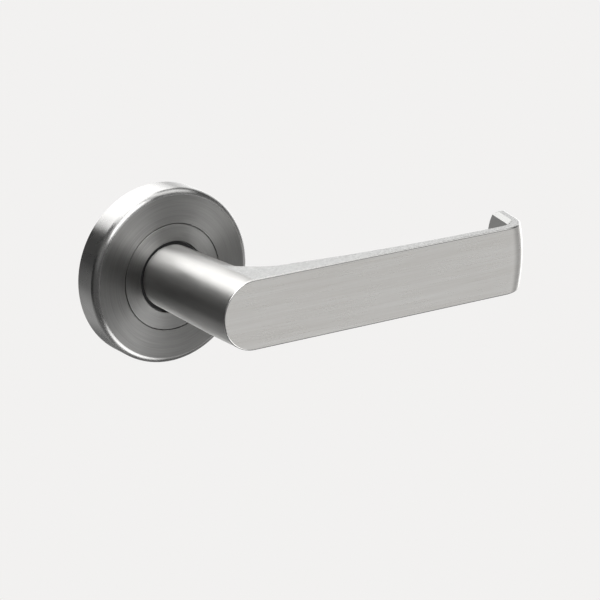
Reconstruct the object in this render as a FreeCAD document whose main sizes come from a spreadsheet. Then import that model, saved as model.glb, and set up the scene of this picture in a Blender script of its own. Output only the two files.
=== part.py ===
import FreeCAD, Part
import math
import os
import re

import Sketcher
from FreeCAD import Placement, Rotation, Vector

# Sprung door lever on a round rose, for one side of a door.
# The origin is the centre of the rose's back face, on the spindle axis. +Y points into the door, so
# the lever stands out towards -Y. +X runs along the grip to its free end, and +Z is up. Millimetres.
# Angles round the spindle are measured from +Z towards +X.

SIZES = (
    # lever
    ("reach", 65.3, "door to the front of the grip"),
    ("half_height", 12.7, "half the height of the grip"),
    ("neck_radius", 11.8, "neck beside the rose"),
    ("neck_flare_start", 14.0, "door to where the neck starts to widen"),
    ("neck_flare_end", 52.0, "door to where the neck is as wide as the grip is high"),
    ("neck_flare_arc", 900.0, "radius of the widening"),
    ("bend_from", 110.7, "spindle axis to the start of the end bend"),
    ("bend_radius", 11.5, "outside radius of the end bend"),
    ("bend_turn", 75.0, "degrees that the grip turns towards the door"),
    ("blade_thickness", 4.2, "grip at the end bend"),
    ("return_depth", 26.0, "front of the grip to the back edge of its return"),
    ("return_arc", 16.6, "radius of the return's rounded back edge"),
    ("root_x", 16.0, "spindle axis to where the grip's back starts to widen into the neck"),
    ("root_thickness", 9.7, "grip there"),
    ("back_arc", 640.0, "radius of the hollow back of the grip"),
    ("flare_x", 3.0, "spindle axis to the end of that widening"),
    ("flare_depth", 17.0, "front of the grip to the end of that widening"),
    ("flare_arc", 22.0, "radius of that widening"),
    ("edge_chamfer", 0.5, "broken edge round the front of the grip"),
    # journal
    ("shoulder", 10.2, "door to the neck's shoulder"),
    ("journal_radius", 8.0, "journal that turns in the bushes"),
    ("journal_flat", 7.2, "spindle axis to the flats that drive the cam"),
    ("flats_from", 5.1, "door to the front end of the flats"),
    ("journal_tail", 1.5, "journal behind the door face"),
    ("clip_groove_radius", 7.5, "bottom of the circlip's groove"),
    ("running_gap", 0.05, "radial clearance of the journal and of the spindle's square"),
    # spindle and grub screw
    ("spindle_width", 8.0, "across the flats of the square spindle"),
    ("spindle_front", 45.5, "door to the spindle's end in the neck"),
    ("spindle_tail", 30.0, "spindle behind the door face"),
    ("grub_from_door", 24.0, "door to the grub screw"),
    ("grub_radius", 2.45, "M5 grub screw"),
    ("grub_hole_radius", 2.5, "its thread in the neck"),
    ("grub_top", 10.6, "spindle axis to the grub screw's outer end"),
    ("socket_across", 2.5, "across the flats of its hexagon socket"),
    ("socket_depth", 2.2, "depth of that socket"),
    # rose
    ("rose_radius", 32.5, "outside of the rose"),
    ("rose_depth", 11.5, "door to the face of the rose"),
    ("cover_wall", 1.25, "sheet of the rose cover"),
    ("rim_round", 2.6, "rounded edge of the rose"),
    ("seam_outer", 19.85, "hole in the rose cover"),
    ("seam_inner", 19.55, "face of the centre ring"),
    ("ring_lip", 22.0, "lip of the centre ring behind the cover"),
    ("ring_bore", 13.2, "hole in the centre ring"),
    ("ring_seat", 9.3, "door to the back of the centre ring"),
    # mounting plate
    ("plate_radius", 30.9, "mounting plate"),
    ("plate_thickness", 3.0, "mounting plate"),
    ("recess_radius", 12.2, "recess for the circlip in the plate's back"),
    ("recess_depth", 1.9, "its depth"),
    ("bush_hole", 9.02, "hole for the rear bush"),
    ("snap_groove_radius", 30.4, "bottom of the snap ring's groove"),
    ("snap_front", 2.0, "door to the front of that groove"),
    ("snap_back", 1.0, "door to the back of that groove"),
    # spring housing
    ("housing_hole", 9.65, "hole in the front of the housing"),
    ("housing_inside", 13.0, "inside of the housing"),
    ("housing_outside", 14.2, "outside of the housing"),
    ("housing_front_wall", 1.1, "front wall of the housing"),
    ("flange_radius", 21.5, "flange of the housing"),
    ("flange_thickness", 1.4, "flange of the housing"),
    # bushes, washer and circlip
    ("front_bush_flange", 12.9, "flange of the front bush"),
    ("front_bush_front", 10.1, "door to the front of the front bush"),
    ("front_bush_back", 7.4, "door to the back of the front bush"),
    ("rear_bush_radius", 9.0, "outside of the rear bush"),
    ("rear_bush_flange", 10.0, "flange of the rear bush"),
    ("rear_bush_front", 3.5, "door to the front of the rear bush"),
    ("washer_radius", 11.5, "thrust washer"),
    ("washer_thickness", 0.5, "thrust washer"),
    ("washer_front", 1.45, "door to the front of the thrust washer"),
    ("disc_spring_inner", 8.15, "hole in the spring washer"),
    ("disc_spring_outer", 11.4, "outside of the spring washer"),
    ("disc_spring_sheet", 0.3, "sheet of the spring washer"),
    ("disc_spring_rise", 0.12, "how far its inner edge stands off the plate"),
    ("clip_radius", 10.4, "outside of the circlip"),
    ("clip_front", 0.9, "door to the front of the circlip"),
    ("clip_thickness", 1.0, "circlip"),
    ("clip_opening", 50.0, "degrees left open in the circlip"),
    # cam, stops and spring
    ("cam_front", 4.9, "door to the front of the drive cam"),
    ("cam_back", 3.6, "door to the back of the drive cam"),
    ("cam_radius", 9.9, "hub of the drive cam"),
    ("lug_radius", 12.6, "end of the drive cam's lug"),
    ("lug_half_angle", 12.0, "half the width of the lug, in degrees"),
    ("travel", 45.0, "travel of the lever, in degrees"),
    ("pin_circle", 11.3, "spindle axis to the stop pins"),
    ("pin_radius", 1.0, "stop pins"),
    ("pin_angle", 41.1, "degrees from the top to each stop pin"),
    ("pin_front", 5.0, "door to the front of the stop pins"),
    ("coil_radius", 11.2, "return spring, middle of the wire"),
    ("wire_radius", 0.6, "wire of the return spring"),
    ("coil_front", 7.55, "door to the first turn, middle of the wire"),
    ("coil_pitch", 1.22, "from turn to turn"),
    ("coil_turns", 1.6, "turns of the return spring"),
    ("spring_leg_angle", -6.9, "degrees from the top to the leg that pushes the lug"),
    ("leg_back", 4.0, "door to the end of that leg"),
    ("anchor_front", 9.0, "door to the end of the leg held in the housing"),
    ("anchor_hole", 0.75, "its hole in the housing"),
    # fixings
    ("tie_spacing", 19.0, "spindle axis to each tie post"),
    ("post_radius", 3.5, "tie post"),
    ("post_hole", 3.55, "its hole in the mounting plate"),
    ("post_tail", 9.0, "tie post behind the door face"),
    ("post_head_radius", 4.4, "head of the tie post"),
    ("post_head", 1.2, "thickness of that head"),
    ("post_thread", 2.1, "M5 thread of the tie post, at its root"),
    ("post_thread_depth", 8.0, "depth of that thread"),
    ("post_head_room", 4.7, "room round the head in the housing's flange"),
    ("screw_circle", 18.0, "spindle axis to the housing screws"),
    ("screw_radius", 1.45, "M3 housing screw"),
    ("screw_hole", 1.5, "its holes"),
    ("screw_head_radius", 2.6, "its head"),
    ("screw_head", 1.6, "thickness of that head"),
    ("screw_tip", 0.6, "door to the end of the housing screws"),
    ("screw_slot", 0.7, "width of the slot in each head"),
    ("screw_slot_depth", 0.8, "depth of that slot"),
    ("wood_screw_x", 17.5, "spindle axis to each wood screw, across"),
    ("wood_screw_z", 18.5, "spindle axis to each wood screw, up or down"),
    ("wood_screw_radius", 1.95, "wood screw"),
    ("wood_screw_hole", 2.1, "its hole in the mounting plate"),
    ("countersink", 1.8, "depth and widening of that hole's countersink"),
    ("wood_screw_tail", 16.0, "straight part of the wood screw behind the door face"),
    ("wood_screw_point", 4.0, "its point"),
    ("wood_screw_slot", 0.8, "width of the slot in its head"),
    ("snap_wire", 0.42, "wire of the snap ring"),
    ("snap_circle", 31.0, "snap ring, middle of the wire"),
    ("snap_angle", 340.0, "degrees that the snap ring goes round"),
    ("cover_groove_radius", 31.6, "groove for the snap ring inside the cover"),
)

doc = FreeCAD.newDocument("door_lever")
sheet = doc.addObject("Spreadsheet::Sheet", "Sizes")
for row, (alias, value, meaning) in enumerate(SIZES, start=1):
    sheet.set(f"A{row}", meaning)
    sheet.set(f"B{row}", str(value))
    sheet.setAlias(f"B{row}", alias)
doc.recompute()

FUNCTIONS = ("sin", "cos", "sqrt", "deg")
nodes = []


def bound(formula):
    """The formula with each size's name pointing at the sheet."""
    return re.sub(
        r"[a-z][a-z_]*",
        lambda word: word.group() if word.group() in FUNCTIONS else f"Sizes.{word.group()}",
        formula,
    )


def value_of(formula):
    number = sheet.evalExpression(bound(formula))
    return float(getattr(number, "Value", number))


def bind(thing, prop, formula):
    thing.setExpression(prop, bound(formula))


def new_body(name):
    body = doc.addObject("PartDesign::Body", name)
    body.Label = name
    nodes.append(body)
    return body


def sketch_on(body, role, name, offset=None):
    """A sketch on one of the body's origin planes, moved along that plane's normal by offset."""
    sketch = body.newObject("Sketcher::SketchObject", name)
    plane = next(item for item in body.Origin.OriginFeatures if item.Role == role)
    sketch.AttachmentSupport = [(plane, "")]
    sketch.MapMode = "FlatFace"
    if offset is not None:
        sketch.AttachmentOffset = Placement(Vector(0, 0, value_of(offset)), Rotation())
        bind(sketch, "AttachmentOffset.Base.z", offset)
    return sketch


def hold_point(sketch, edge, end, x, y):
    """Tie one end of an edge to a place worked out from the sheet."""
    for kind, axis, formula in (("DistanceX", -2, x), ("DistanceY", -1, y)):
        distance = value_of(formula)
        if distance == 0:
            sketch.addConstraint(Sketcher.Constraint("PointOnObject", edge, end, axis))
        else:
            number = sketch.addConstraint(
                Sketcher.Constraint(kind, -1, 1, edge, end, distance)
            )
            bind(sketch, f"Constraints[{number}]", formula)


def arc_between(start, end, radius, side):
    """The shorter arc between two points. It bulges to the left of the way for side 1, right for -1."""
    middle = (start + end) / 2
    half = (end - start).Length / 2
    along = (end - start).normalize()
    bulge = radius - math.sqrt(radius**2 - half**2)
    return Part.Arc(start, middle + Vector(-along.y, along.x, 0) * bulge * side, end)


def outline(sketch, corners):
    """A closed outline. A corner is (x, y), or (x, y, radius, side) where an arc leaves it."""
    points = [Vector(value_of(c[0]), value_of(c[1]), 0) for c in corners]
    first = sketch.GeometryCount
    count = len(corners)
    starts = []
    for place, corner in enumerate(corners):
        here = points[place]
        there = points[(place + 1) % count]
        if len(corner) == 2:
            sketch.addGeometry(Part.LineSegment(here, there), False)
            starts.append(1)
            continue
        sketch.addGeometry(arc_between(here, there, value_of(corner[2]), corner[3]), False)
        # a sketch keeps its arcs anticlockwise, so one that bulges left is held end first
        starts.append(2 if corner[3] == 1 else 1)
    for place, corner in enumerate(corners):
        edge = first + place
        following = (place + 1) % count
        sketch.addConstraint(
            Sketcher.Constraint(
                "Coincident", edge, 3 - starts[place], first + following, starts[following]
            )
        )
        hold_point(sketch, edge, starts[place], corner[0], corner[1])
        if len(corner) == 4:
            number = sketch.addConstraint(
                Sketcher.Constraint("Radius", edge, value_of(corner[2]))
            )
            bind(sketch, f"Constraints[{number}]", corner[2])


def circles(sketch, centres, radius):
    for x, y in centres:
        spot = Vector(value_of(x), value_of(y), 0)
        edge = sketch.addGeometry(
            Part.Circle(spot, Vector(0, 0, 1), value_of(radius)), False
        )
        hold_point(sketch, edge, 3, x, y)
        number = sketch.addConstraint(Sketcher.Constraint("Radius", edge, value_of(radius)))
        bind(sketch, f"Constraints[{number}]", radius)


def polar(radius, angle):
    """A place on the XZ plane, as formulas, from a radius and degrees from +Z towards +X."""
    return f"{radius} * sin(({angle}) * 1 deg)", f"{radius} * cos(({angle}) * 1 deg)"


def revolve(body, corners, angle=360, name="turn"):
    """Turn an outline of (radius, y) round the spindle axis."""
    sketch = sketch_on(body, "XY_Plane", f"{body.Name}_{name}_outline")
    outline(sketch, corners)
    feature = body.newObject("PartDesign::Revolution", f"{body.Name}_{name}")
    feature.Profile = sketch
    feature.ReferenceAxis = (sketch, ["V_Axis"])
    feature.Angle = angle
    doc.recompute()
    return feature


def turned(name, corners, angle=360):
    body = new_body(name)
    revolve(body, corners, angle)
    return body


def pad(body, sketch, length, name, reversed_way=False):
    feature = body.newObject("PartDesign::Pad", f"{body.Name}_{name}")
    feature.Profile = sketch
    feature.Reversed = reversed_way
    feature.Length = value_of(length)
    bind(feature, "Length", length)
    doc.recompute()
    return feature


def cut(body, sketch, name, length=None, both_ways=False, reversed_way=False):
    """A pocket, all the way through unless it has a length. It has to take something off."""
    before = body.Shape.Volume
    feature = body.newObject("PartDesign::Pocket", f"{body.Name}_{name}")
    feature.Profile = sketch
    feature.Reversed = reversed_way
    if length is None:
        feature.Type = "ThroughAll"
    else:
        feature.Length = value_of(length)
        bind(feature, "Length", length)
    if both_ways:
        feature.SideType = "Symmetric"
    doc.recompute()
    if not body.Shape.Volume < before - 1e-6:
        raise RuntimeError(f"{body.Name}: {name} cuts nothing")
    return feature


def drill(body, centres, radius, name):
    """Round holes along Y, right through."""
    sketch = sketch_on(body, "XZ_Plane", f"{body.Name}_{name}_circles")
    circles(sketch, centres, radius)
    return cut(body, sketch, name, both_ways=True)


def edges_where(body, wanted):
    """The names of the body's edges that a test picks out."""
    return [f"Edge{n}" for n, edge in enumerate(body.Shape.Edges, start=1) if wanted(edge)]


def is_circle(edge, radius, y):
    curve = edge.Curve
    return (
        isinstance(curve, Part.Circle)
        and abs(curve.Radius - radius) < 0.01
        and abs(curve.Center.y - y) < 0.01
    )


def dress(body, kind, edges, prop, size):
    """A fillet or chamfer on the body's present shape."""
    base = body.Tip
    feature = body.newObject(f"PartDesign::{kind}", f"{body.Name}_{kind.lower()}")
    feature.Base = (base, edges)
    setattr(feature, prop, value_of(size))
    bind(feature, prop, size)
    doc.recompute()
    return feature


def rose_cover():
    body = turned(
        "rose_cover",
        [
            ("rose_radius - cover_wall", "0"),
            ("rose_radius", "0"),
            ("rose_radius", "-rose_depth"),
            ("seam_outer", "-rose_depth"),
            ("seam_outer", "-rose_depth + cover_wall"),
            ("rose_radius - cover_wall", "-rose_depth + cover_wall"),
            ("rose_radius - cover_wall", "-snap_front"),
            ("cover_groove_radius", "-snap_front"),
            ("cover_groove_radius", "-snap_back"),
            ("rose_radius - cover_wall", "-snap_back"),
        ],
    )
    rim = value_of("rose_radius"), value_of("-rose_depth")
    rims = edges_where(body, lambda edge: is_circle(edge, *rim))
    dress(body, "Fillet", rims, "Radius", "rim_round")


def centre_ring():
    turned(
        "centre_ring",
        [
            ("ring_bore", "-rose_depth"),
            ("seam_inner", "-rose_depth"),
            ("seam_inner", "-rose_depth + cover_wall"),
            ("ring_lip", "-rose_depth + cover_wall"),
            ("ring_lip", "-ring_seat"),
            ("ring_bore", "-ring_seat"),
        ],
    )


def tie_places():
    return [("tie_spacing", "0"), ("-tie_spacing", "0")]


def screw_places():
    return [polar("screw_circle", angle) for angle in ("0", "120", "240")]


def wood_screw_places():
    return [("wood_screw_x", "wood_screw_z"), ("-wood_screw_x", "-wood_screw_z")]


def pin_places():
    return [polar("pin_circle", angle) for angle in ("pin_angle", "-pin_angle")]


def mounting_plate():
    body = turned(
        "mounting_plate",
        [
            ("bush_hole", "-plate_thickness"),
            ("plate_radius", "-plate_thickness"),
            ("plate_radius", "-snap_front"),
            ("snap_groove_radius", "-snap_front"),
            ("snap_groove_radius", "-snap_back"),
            ("plate_radius", "-snap_back"),
            ("plate_radius", "0"),
            ("recess_radius", "0"),
            ("recess_radius", "-recess_depth"),
            ("bush_hole", "-recess_depth"),
        ],
    )
    drill(body, tie_places(), "post_hole", "tie_holes")
    drill(body, screw_places(), "screw_hole", "screw_holes")
    drill(body, pin_places(), "pin_radius", "pin_holes")
    drill(body, wood_screw_places(), "wood_screw_hole", "wood_screw_holes")
    mouth = value_of("wood_screw_hole"), value_of("-plate_thickness")
    mouths = edges_where(body, lambda edge: is_circle(edge, *mouth))
    dress(body, "Chamfer", mouths, "Size", "countersink")


def spring_housing():
    body = turned(
        "spring_housing",
        [
            ("housing_hole", "-ring_seat"),
            ("housing_outside", "-ring_seat"),
            ("housing_outside", "-plate_thickness - flange_thickness"),
            ("flange_radius", "-plate_thickness - flange_thickness"),
            ("flange_radius", "-plate_thickness"),
            ("housing_inside", "-plate_thickness"),
            ("housing_inside", "-ring_seat + housing_front_wall"),
            ("housing_hole", "-ring_seat + housing_front_wall"),
        ],
    )
    drill(body, tie_places(), "post_head_room", "post_notches")
    drill(body, screw_places(), "screw_hole", "screw_holes")
    anchor = polar("coil_radius", "spring_leg_angle - 360 * coil_turns")
    sketch = sketch_on(body, "XZ_Plane", "spring_anchor_circle", "ring_seat - housing_front_wall")
    circles(sketch, [anchor], "anchor_hole")
    cut(body, sketch, "anchor_hole", reversed_way=True)


def front_bush():
    turned(
        "front_bush",
        [
            ("journal_radius + running_gap", "-front_bush_front"),
            ("front_bush_flange", "-front_bush_front"),
            ("front_bush_flange", "-ring_seat"),
            ("housing_hole - 0.03", "-ring_seat"),
            ("housing_hole - 0.03", "-front_bush_back"),
            ("journal_radius + running_gap", "-front_bush_back"),
        ],
    )


def rear_bush():
    turned(
        "rear_bush",
        [
            ("journal_radius + running_gap", "-rear_bush_front"),
            ("rear_bush_flange", "-rear_bush_front"),
            ("rear_bush_flange", "-plate_thickness"),
            ("rear_bush_radius", "-plate_thickness"),
            ("rear_bush_radius", "-recess_depth"),
            ("journal_radius + running_gap", "-recess_depth"),
        ],
    )


def spring_washer():
    """A shallow dished washer that takes up the lever's end play."""
    turned(
        "spring_washer",
        [
            ("disc_spring_inner", "-recess_depth + disc_spring_rise"),
            ("disc_spring_outer", "-recess_depth"),
            ("disc_spring_outer", "-recess_depth + disc_spring_sheet"),
            ("disc_spring_inner", "-recess_depth + disc_spring_rise + disc_spring_sheet"),
        ],
    )


def thrust_washer():
    turned(
        "thrust_washer",
        [
            ("journal_radius + running_gap", "-washer_front"),
            ("washer_radius", "-washer_front"),
            ("washer_radius", "-washer_front + washer_thickness"),
            ("journal_radius + running_gap", "-washer_front + washer_thickness"),
        ],
    )


def circlip():
    body = turned(
        "circlip",
        [
            ("clip_groove_radius", "-clip_front"),
            ("clip_radius", "-clip_front"),
            ("clip_radius", "-clip_front + clip_thickness"),
            ("clip_groove_radius", "-clip_front + clip_thickness"),
        ],
        angle=value_of("360 - clip_opening"),
    )
    # the turn starts at +X, and the opening is brought round to the bottom
    half_open = value_of("clip_opening") / 2
    body.Placement = Placement(Vector(), Rotation(Vector(0, 1, 0), 90 + half_open))


def snap_ring():
    body = new_body("snap_ring")
    sketch = sketch_on(body, "XY_Plane", "snap_ring_wire")
    circles(sketch, [("snap_circle", "-(snap_front + snap_back) / 2")], "snap_wire")
    feature = body.newObject("PartDesign::Revolution", "snap_ring_turn")
    feature.Profile = sketch
    feature.ReferenceAxis = (sketch, ["V_Axis"])
    feature.Angle = value_of("snap_angle")
    bind(feature, "Angle", "snap_angle")
    doc.recompute()


def return_spring():
    """A torsion spring. Both ends turn along the spindle: one into the housing, one onto the lug."""
    body = new_body("return_spring")
    wire = sketch_on(body, "XY_Plane", "return_spring_wire")
    circles(wire, [("coil_radius", "-coil_front")], "wire_radius")
    coil = body.newObject("PartDesign::AdditiveHelix", "return_spring_coil")
    coil.Profile = wire
    coil.ReferenceAxis = (wire, ["V_Axis"])
    coil.Mode = "pitch-turns-angle"
    coil.Pitch = value_of("coil_pitch")
    coil.Turns = value_of("coil_turns")
    bind(coil, "Pitch", "coil_pitch")
    bind(coil, "Turns", "coil_turns")
    doc.recompute()
    anchor = sketch_on(body, "XZ_Plane", "return_spring_anchor", "coil_front")
    circles(anchor, [("coil_radius", "0")], "wire_radius")
    pad(body, anchor, "anchor_front - coil_front", "anchor_leg")
    coil_back = "coil_front - coil_pitch * coil_turns"
    leg = sketch_on(body, "XZ_Plane", "return_spring_leg", coil_back)
    circles(leg, [polar("coil_radius", "90 + 360 * coil_turns")], "wire_radius")
    pad(body, leg, f"{coil_back} - leg_back", "lug_leg", reversed_way=True)
    turn = value_of("spring_leg_angle - 90 - 360 * coil_turns")
    body.Placement = Placement(Vector(), Rotation(Vector(0, 1, 0), turn))


def drive_cam():
    """A disc on the journal's flats. Its lug carries the spring's push and meets the stop pins."""
    body = turned(
        "drive_cam",
        [
            ("journal_flat - 1", "-cam_front"),
            ("cam_radius", "-cam_front"),
            ("cam_radius", "-cam_back"),
            ("journal_flat - 1", "-cam_back"),
        ],
    )
    middle = "-travel / 2"
    sketch = sketch_on(body, "XZ_Plane", "drive_cam_lug_outline", "cam_back")
    inner = "(cam_radius - 0.6)"
    left = f"{middle} - lug_half_angle"
    right = f"{middle} + lug_half_angle"
    outline(
        sketch,
        [
            polar(inner, left),
            (*polar("lug_radius", left), "lug_radius", 1),
            polar("lug_radius", right),
            polar(inner, right),
        ],
    )
    pad(body, sketch, "cam_front - cam_back", "lug")
    sketch = sketch_on(body, "XZ_Plane", "drive_cam_bore_outline")
    bore = "(journal_radius + running_gap)"
    flat = "journal_flat + running_gap"
    half_flat = f"sqrt({bore}^2 - ({flat})^2)"
    outline(
        sketch,
        [
            (f"-{half_flat}", flat),
            (half_flat, flat, bore, 1),
            (half_flat, f"-({flat})"),
            (f"-{half_flat}", f"-({flat})", bore, 1),
        ],
    )
    cut(body, sketch, "bore", both_ways=True)


def stop_pins():
    body = new_body("stop_pins")
    sketch = sketch_on(body, "XZ_Plane", "stop_pins_circles", "recess_depth + 0.05")
    circles(sketch, pin_places(), "pin_radius")
    pad(body, sketch, "pin_front - recess_depth - 0.05", "pins")


def tie_posts():
    """Two shouldered posts, headed in front of the plate and tapped from their back ends."""
    body = new_body("tie_posts")
    sketch = sketch_on(body, "XZ_Plane", "tie_posts_head_circles", "plate_thickness")
    circles(sketch, tie_places(), "post_head_radius")
    pad(body, sketch, "post_head", "heads")
    sketch = sketch_on(body, "XZ_Plane", "tie_posts_shank_circles", "plate_thickness")
    circles(sketch, tie_places(), "post_radius")
    pad(body, sketch, "plate_thickness + post_tail", "shanks", reversed_way=True)
    sketch = sketch_on(body, "XZ_Plane", "tie_posts_thread_circles", "-post_tail")
    circles(sketch, tie_places(), "post_thread")
    cut(body, sketch, "threads", "post_thread_depth", reversed_way=True)


def housing_screws():
    body = new_body("housing_screws")
    seat = "plate_thickness + flange_thickness"
    sketch = sketch_on(body, "XZ_Plane", "housing_screws_head_circles", seat)
    circles(sketch, screw_places(), "screw_head_radius")
    pad(body, sketch, "screw_head", "heads")
    sketch = sketch_on(body, "XZ_Plane", "housing_screws_shank_circles", seat)
    circles(sketch, screw_places(), "screw_radius")
    pad(body, sketch, f"{seat} - screw_tip", "shanks", reversed_way=True)
    sketch = sketch_on(body, "XZ_Plane", "housing_screws_slots", f"{seat} + screw_head")
    for x, z in screw_places():
        outline(
            sketch,
            [
                (f"{x} - screw_head_radius", f"{z} - screw_slot / 2"),
                (f"{x} + screw_head_radius", f"{z} - screw_slot / 2"),
                (f"{x} + screw_head_radius", f"{z} + screw_slot / 2"),
                (f"{x} - screw_head_radius", f"{z} + screw_slot / 2"),
            ],
        )
    cut(body, sketch, "slots", "screw_slot_depth")


def along_y(kind, name, x, y, z, **sizes):
    """A cone, cylinder or box of the Part workbench, standing along +Y from the place given."""
    solid = doc.addObject(f"Part::{kind}", name)
    for prop, formula in sizes.items():
        bind(solid, prop, formula)
    spot = Vector(value_of(x), value_of(y), value_of(z))
    solid.Placement = Placement(spot, Rotation(Vector(1, 0, 0), -90))
    for axis, formula in (("x", x), ("y", y), ("z", z)):
        bind(solid, f"Placement.Base.{axis}", formula)
    return solid


def wood_screws():
    """Two countersunk screws that hold the plate on the door while the tie screws go in."""
    screws = []
    for number, (x, z) in enumerate(wood_screw_places(), start=1):
        name = f"wood_screw_{number}"
        head = along_y(
            "Cone",
            f"{name}_head",
            x,
            "-plate_thickness",
            z,
            Radius1="wood_screw_radius + countersink",
            Radius2="wood_screw_radius",
            Height="countersink",
        )
        shank = along_y(
            "Cylinder",
            f"{name}_shank",
            x,
            "-plate_thickness + countersink",
            z,
            Radius="wood_screw_radius",
            Height="plate_thickness - countersink + wood_screw_tail",
        )
        point = along_y(
            "Cone",
            f"{name}_point",
            x,
            "wood_screw_tail",
            z,
            Radius1="wood_screw_radius",
            Radius2="wood_screw_radius / 8",
            Height="wood_screw_point",
        )
        whole = doc.addObject("Part::MultiFuse", f"{name}_whole")
        whole.Shapes = [head, shank, point]
        slot = along_y(
            "Box",
            f"{name}_slot",
            f"{x} - wood_screw_radius - countersink",
            "-plate_thickness",
            f"{z} + wood_screw_slot / 2",
            Length="2 * (wood_screw_radius + countersink)",
            Width="wood_screw_slot",
            Height="countersink / 2",
        )
        screw = doc.addObject("Part::Cut", name)
        screw.Base = whole
        screw.Tool = slot
        screws.append(screw)
    pair = doc.addObject("Part::Compound", "wood_screws")
    pair.Label = "wood_screws"
    pair.Links = screws
    nodes.append(pair)
    doc.recompute()


def square(sketch, half):
    outline(
        sketch,
        [(f"-({half})", f"-({half})"), (half, f"-({half})"), (half, half), (f"-({half})", half)],
    )


def square_spindle():
    body = new_body("square_spindle")
    sketch = sketch_on(body, "XZ_Plane", "square_spindle_section", "-spindle_tail")
    square(sketch, "spindle_width / 2")
    pad(body, sketch, "spindle_tail + spindle_front", "bar")
    ends = (value_of("spindle_tail"), value_of("-spindle_front"))
    edges = edges_where(
        body,
        lambda edge: all(min(abs(v.Point.y - end) for end in ends) < 0.01 for v in edge.Vertexes)
        and abs(edge.Vertexes[0].Point.y - edge.Vertexes[-1].Point.y) < 0.01,
    )
    dress(body, "Chamfer", edges, "Size", "edge_chamfer")


def grub_screw():
    """A socket screw that comes up through the neck's underside and locks the spindle."""
    body = new_body("grub_screw")
    sketch = sketch_on(body, "XY_Plane", "grub_screw_circle", "-grub_top")
    circles(sketch, [("0", "-grub_from_door")], "grub_radius")
    pad(body, sketch, "grub_top - spindle_width / 2 - 0.02", "shank")
    sketch = sketch_on(body, "XY_Plane", "grub_screw_socket_outline", "-grub_top")
    corner = "socket_across / 2 / cos(30 * 1 deg)"
    outline(
        sketch,
        [
            (
                f"{corner} * cos({60 * side} * 1 deg)",
                f"-grub_from_door + {corner} * sin({60 * side} * 1 deg)",
            )
            for side in range(6)
        ],
    )
    cut(body, sketch, "socket", "socket_depth", reversed_way=True)


def lever_handle():
    """Neck, grip and return in one casting, with the journal that turns in the rose behind it."""
    body = turned(
        "lever_handle",
        [
            ("0", "-reach"),
            ("half_height", "-reach"),
            ("half_height", "-neck_flare_end", "neck_flare_arc", 1),
            ("neck_radius", "-neck_flare_start"),
            ("neck_radius", "-shoulder"),
            ("journal_radius", "-shoulder"),
            ("journal_radius", "-clip_front - running_gap"),
            ("clip_groove_radius - running_gap", "-clip_front - running_gap"),
            ("clip_groove_radius - running_gap", "-clip_front + clip_thickness + running_gap"),
            ("journal_radius", "-clip_front + clip_thickness + running_gap"),
            ("journal_radius", "journal_tail"),
            ("0", "journal_tail"),
        ],
    )
    sketch = sketch_on(body, "XY_Plane", "grip_plan", "-half_height")
    sine = "sin(bend_turn * 1 deg)"
    cosine = "cos(bend_turn * 1 deg)"
    inner_radius = "(bend_radius - blade_thickness)"
    outer_end = (
        f"bend_from + bend_radius * {sine}",
        f"-reach + bend_radius * (1 - {cosine})",
    )
    inner_end = (
        f"bend_from + {inner_radius} * {sine}",
        f"-reach + bend_radius - {inner_radius} * {cosine}",
    )
    outer_tip = f"{outer_end[0]} + (return_depth - bend_radius * (1 - {cosine})) * {cosine} / {sine}"
    inner_tip = (
        f"{inner_end[0]} + (return_depth - bend_radius + {inner_radius} * {cosine})"
        f" * {cosine} / {sine}"
    )
    outline(
        sketch,
        [
            ("0", "-reach"),
            ("bend_from", "-reach", "bend_radius", -1),
            outer_end,
            (outer_tip, "-reach + return_depth"),
            (inner_tip, "-reach + return_depth"),
            (*inner_end, inner_radius, 1),
            ("bend_from", "-reach + blade_thickness", "back_arc", 1),
            ("root_x", "-reach + root_thickness", "flare_arc", 1),
            ("flare_x", "-reach + flare_depth"),
            ("0", "-reach + flare_depth"),
        ],
    )
    pad(body, sketch, "2 * half_height", "grip")
    # the return's back edge is a round nose: what lies behind that arc comes off
    sketch = sketch_on(body, "YZ_Plane", "return_nose", f"bend_from + {inner_radius} / 2")
    nose = "-reach + return_depth"
    edge = "(half_height + 1)"
    back = f"{nose} - return_arc + sqrt(return_arc^2 - {edge}^2)"
    outline(
        sketch,
        [
            (back, f"-{edge}", "return_arc", -1),
            (back, edge),
            (f"{nose} + 1", edge),
            (f"{nose} + 1", f"-{edge}"),
        ],
    )
    cut(body, sketch, "return_nose_cut", reversed_way=True)
    front = value_of("-reach")
    rim = edges_where(
        body,
        lambda e: all(abs(v.Point.y - front) < 0.01 for v in e.Vertexes)
        and e.BoundBox.YLength < 0.01
        and not (e.BoundBox.XLength < 0.01 and e.BoundBox.XMin > 1),
    )
    dress(body, "Chamfer", rim, "Size", "edge_chamfer")
    # square hole for the spindle
    sketch = sketch_on(body, "XZ_Plane", "spindle_hole_section", "-journal_tail - 1")
    square(sketch, "spindle_width / 2 + running_gap")
    cut(body, sketch, "spindle_hole", "spindle_front + journal_tail + 1.5", reversed_way=True)
    # flats for the cam, from the journal's tail forwards
    sketch = sketch_on(body, "XZ_Plane", "journal_flat_outlines", "-journal_tail - 1")
    for side in ("", "-"):
        outline(
            sketch,
            [
                ("-journal_radius - 1", f"{side}(journal_radius + 1)"),
                ("journal_radius + 1", f"{side}(journal_radius + 1)"),
                ("journal_radius + 1", f"{side}journal_flat"),
                ("-journal_radius - 1", f"{side}journal_flat"),
            ],
        )
    cut(body, sketch, "journal_flats", "flats_from + journal_tail + 1", reversed_way=True)
    # thread for the grub screw, from below
    sketch = sketch_on(body, "XY_Plane", "grub_hole_circle", "-half_height - 1")
    circles(sketch, [("0", "-grub_from_door")], "grub_hole_radius")
    cut(body, sketch, "grub_hole", "half_height + 1 - spindle_width / 2", reversed_way=True)


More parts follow.
